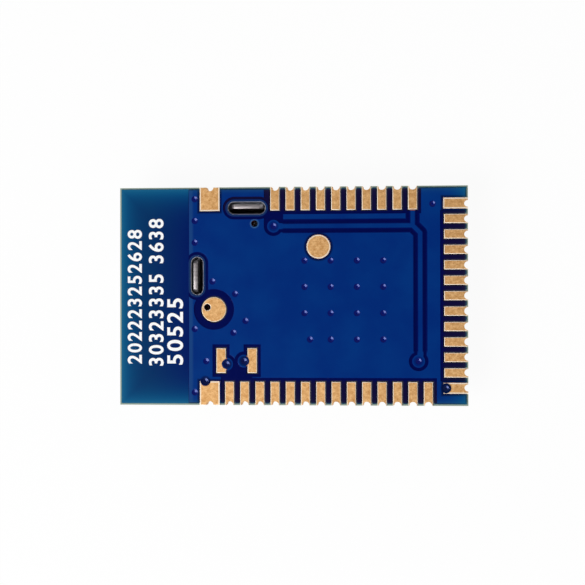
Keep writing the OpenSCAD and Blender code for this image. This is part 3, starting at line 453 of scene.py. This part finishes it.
def twin(name, joined=True):
    """A copy of a CAD node with its points merged and its flat faces joined, which stands for the node."""
    piece = bpy.data.objects.new(name + "_finished", frame["nodes"][name].data.copy())
    bpy.context.collection.objects.link(piece)
    choose(piece)
    bpy.ops.mesh.customdata_custom_splitnormals_clear()
    bpy.ops.object.mode_set(mode="EDIT")
    bpy.ops.mesh.select_all(action="SELECT")
    bpy.ops.mesh.remove_doubles(threshold=MERGE)
    if joined:
        bpy.ops.mesh.dissolve_limited(angle_limit=SAME_PLANE)
    bpy.ops.object.mode_set(mode="OBJECT")
    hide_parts(name)
    mounted(piece, SLOT_OF[name])
    return piece


def at_level(mesh, face, z):
    """Whether all points of a face lie at a level."""
    return all(abs(mesh.vertices[i].co.z - z) < LEVEL for i in face.vertices)


def outline(mesh, z):
    """The edges at a level in which a face that looks up meets an upright face."""
    flat = {key for f in mesh.polygons if f.normal.z > FLAT and at_level(mesh, f, z) for key in f.edge_keys}
    upright = {key for f in mesh.polygons if abs(f.normal.z) < UPRIGHT for key in f.edge_keys}
    return flat & upright


def edit(piece, kind, wanted):
    """Opens a piece with only the wanted points, edges or faces selected."""
    choose(piece)
    bpy.ops.object.mode_set(mode="EDIT")
    bpy.ops.mesh.select_mode(type=kind)
    bpy.ops.mesh.select_all(action="DESELECT")
    bpy.ops.object.mode_set(mode="OBJECT")
    mesh = piece.data
    items = {"VERT": mesh.vertices, "EDGE": mesh.edges, "FACE": mesh.polygons}[kind]
    for item in items:
        item.select = wanted(item)
    bpy.ops.object.mode_set(mode="EDIT")


def smooth(piece):
    """Smooth shading in which the faces that look straight up stay flat."""
    choose(piece)
    bpy.ops.object.shade_smooth_by_angle(angle=SHARP)
    mesh = piece.data
    flat = {i for f in mesh.polygons if f.normal.z > DEAD_FLAT for i in f.vertices}
    normals = [corner.vector.copy() for corner in mesh.corner_normals]
    for f in mesh.polygons:
        for i in f.loop_indices:
            if f.normal.z > LOOKS_UP and mesh.loops[i].vertex_index in flat:
                normals[i] = Vector((0, 0, 1))
    mesh.normals_split_custom_set(normals)


def enlarge(piece, times):
    """Scales the mesh of the chosen piece about the origin."""
    piece.scale = (times, times, times)
    bpy.ops.object.transform_apply(location=False, rotation=False, scale=True)


def refilled(piece, z):
    """Takes out the flat faces at a level and fills their outlines anew, enlarged because they are fine."""
    edit(piece, "FACE", lambda f: abs(f.normal.z) > FLAT and at_level(piece.data, f, z))
    bpy.ops.mesh.delete(type="FACE")
    bpy.ops.object.mode_set(mode="OBJECT")
    enlarge(piece, 1 / MM)
    bpy.ops.object.mode_set(mode="EDIT")
    bpy.ops.mesh.select_mode(type="EDGE")
    bpy.ops.mesh.select_non_manifold(extend=False)
    bpy.ops.mesh.fill(use_beauty=True)
    bpy.ops.object.mode_set(mode="OBJECT")
    enlarge(piece, MM)


def softened(name, width_mm, least_mm):
    """A copy of a node with those upper edges of its lands rounded that are longer than a least length."""
    piece = twin(name)
    points = piece.data.vertices
    least = least_mm * MM
    edges = outline(piece.data, LAND_Z)
    rim = {(a, b) for a, b in edges if (points[a].co - points[b].co).length > least}
    edit(piece, "EDGE", lambda e: tuple(sorted(e.vertices)) in rim)
    bpy.ops.mesh.bevel(offset=width_mm * MM, segments=3, profile=0.5, clamp_overlap=False, affect="EDGES")
    bpy.ops.object.mode_set(mode="OBJECT")
    refilled(piece, LAND_Z)
    smooth(piece)


def draped(name, slope_mm, fall_mm):
    """A copy of the solder mask whose film slopes down towards its edges over the copper."""
    piece = twin(name, joined=False)
    rim = {i for key in outline(piece.data, TOP_Z) for i in key}
    places = {tuple(round(c / MERGE) for c in piece.data.vertices[i].co) for i in rim}
    edit(piece, "FACE", lambda f: f.normal.z > FLAT and at_level(piece.data, f, TOP_Z))
    bpy.ops.mesh.inset(thickness=slope_mm * MM, use_boundary=True, use_even_offset=True)
    bpy.ops.object.mode_set(mode="OBJECT")
    edit(piece, "VERT", lambda v: tuple(round(c / MERGE) for c in v.co) in places)
    bpy.ops.transform.translate(value=(0, 0, -fall_mm * MM))
    bpy.ops.object.mode_set(mode="OBJECT")
    refilled(piece, TOP_Z)
    smooth(piece)


def rounded(name, width_mm, joined=True):
    """A copy of a CAD node with all its sharp edges rounded."""
    piece = twin(name, joined)
    choose(piece)
    edge = piece.modifiers.new("edge", "BEVEL")
    edge.width = width_mm * MM
    edge.segments = 2
    edge.limit_method = "ANGLE"
    edge.angle_limit = SHARP
    edge.use_clamp_overlap = False
    bpy.ops.object.modifier_apply(modifier=edge.name)
    bpy.ops.object.shade_smooth_by_angle(angle=CREASE)


def numerals(name, words, low_mm, high_mm):
    """Printed numbers that read upwards along the board and fill a box, as one flat layer of ink."""
    bpy.ops.object.select_all(action="DESELECT")
    bpy.ops.object.text_add()
    piece = bpy.context.active_object
    piece.name = name
    piece.data.body = words
    piece.data.offset = STROKE
    piece.data.extrude = 0.05  # any thickness, which is then scaled to the ink's
    piece.data.space_character = SPREAD
    piece.data.resolution_u = STEPS
    bpy.ops.object.convert(target="MESH")
    piece = bpy.context.active_object
    low, high = Vector(low_mm) * MM, Vector(high_mm) * MM
    long, tall, thick = piece.dimensions
    piece.scale = ((high.y - low.y) / long, (high.x - low.x) / tall, INK / thick)
    piece.rotation_euler.z = math.pi / 2
    bpy.ops.object.transform_apply(location=False, rotation=True, scale=True)
    corner = [min(v.co[i] for v in piece.data.vertices) for i in range(3)]
    piece.location = (low.x - corner[0], low.y - corner[1], LAND_Z - corner[2])
    bpy.ops.object.transform_apply(location=True, rotation=False, scale=False)
    bpy.ops.object.mode_set(mode="EDIT")
    bpy.ops.mesh.select_all(action="SELECT")
    bpy.ops.mesh.remove_doubles(threshold=MERGE)
    bpy.ops.object.mode_set(mode="OBJECT")
    bpy.ops.object.shade_flat()
    mounted(piece, "print")


# Pieces

for name, obj in frame["nodes"].items():
    paint(obj, SLOT_OF[name])

for name in ("lower_edge_contacts", "upper_edge_contacts", "end_edge_contacts"):
    softened(name, 0.03, 0.2)
softened("corner_ground_contacts", 0.02, 0.1)
for name in ("ground_test_land", "antenna_test_land", "spare_part_lands"):
    softened(name, 0.03, 0)
draped("solder_side_mask", 0.02, 0.0025)
rounded("shield_can", 0.015)
rounded("antenna_body", 0.03)
rounded("antenna_ends", 0.02, joined=False)
numerals("first_numerals", "202223252628", (-7.65, -3.11), (-6.97, 3.07))
numerals("second_numerals", "30323335 3638", (-6.66, -3.2), (-5.96, 3.57))
numerals("third_numerals", "50525", (-5.8, -3.15), (-5.05, -0.1))


# Room, light and camera

def studio():
    """A white floor that keeps the module's shadow, and a pale room with a dark ceiling over the camera."""
    bpy.ops.object.select_all(action="DESELECT")
    bpy.ops.mesh.primitive_plane_add(size=FLOOR)
    floor = bpy.context.active_object
    floor.name = "floor"
    paper = bpy.data.materials.new("white paper")
    paper.use_nodes = True
    tree = paper.node_tree
    tree.nodes.clear()
    path = add(tree, "LightPath").outputs
    seen = add(tree, "Math", [path["Is Camera Ray"], path["Is Glossy Ray"]], operation="MAXIMUM")
    seen = add(tree, "Math", [seen, path["Is Transmission Ray"]], operation="MAXIMUM")
    share = add(tree, "Math", [seen, BACKDROP], operation="MULTIPLY")
    matt = add(tree, "BsdfDiffuse", {"Color": linear("#F4F4F4")})
    glow = add(tree, "Emission", {"Color": linear("#FFFFFF"), "Strength": 1.0})
    mix = add(tree, "MixShader", [share, matt, glow])
    add(tree, "OutputMaterial", {"Surface": mix})
    floor.data.materials.append(paper)

    world = bpy.data.worlds.new("studio")
    bpy.context.scene.world = world
    world.use_nodes = True
    tree = world.node_tree
    tree.nodes.clear()
    way = add(tree, "TexCoord").outputs["Generated"]
    up = add(tree, "SeparateXYZ", [way]).outputs["Z"]
    height = add(tree, "Math", [up], operation="ARCSINE")
    share = add(tree, "MapRange", [height, 0, math.pi / 2])
    fall = add(tree, "ValToRGB", [share])
    stops = fall.color_ramp.elements
    for degrees, _ in ROOM[1:-1]:
        stops.new(degrees / 90)
    for stop, (degrees, level) in zip(stops, ROOM):
        stop.position = degrees / 90
        stop.color = (level, level, level, 1)
    room = add(tree, "Background", {"Color": fall, "Strength": 1.0})
    add(tree, "OutputWorld", {"Surface": room})


def lamp(name, place_mm, size_mm, watts):
    """A square soft light that looks at the module."""
    data = bpy.data.lights.new(name, "AREA")
    data.energy = watts
    data.size = size_mm * MM
    made = bpy.data.objects.new(name, data)
    bpy.context.collection.objects.link(made)
    made.location = Vector(place_mm) * MM
    made.rotation_euler = (-made.location).to_track_quat("-Z", "Y").to_euler()


def photographed():
    """The camera at the photograph's point of view."""
    data = bpy.data.cameras.new("camera")
    data.sensor_width = SENSOR
    data.lens = FOCAL_SHARE * SENSOR
    data.clip_start = 1 * MM
    data.clip_end = 10
    made = bpy.data.objects.new("camera", data)
    bpy.context.collection.objects.link(made)
    turn = Matrix.Rotation(math.radians(TILT_X), 4, "X")
    turn = turn @ Matrix.Rotation(math.radians(TILT_Y), 4, "Y")
    turn = turn @ Matrix.Rotation(math.radians(ROLL), 4, "Z")
    made.matrix_world = Matrix.Translation((*AIM, LAND_Z)) @ turn @ Matrix.Translation((0, 0, DISTANCE))
    bpy.context.scene.camera = made


studio()
lamp("key", (-90, -76, 136), 130, 0.3)
photographed()
bpy.context.scene.view_settings.view_transform = "Standard"
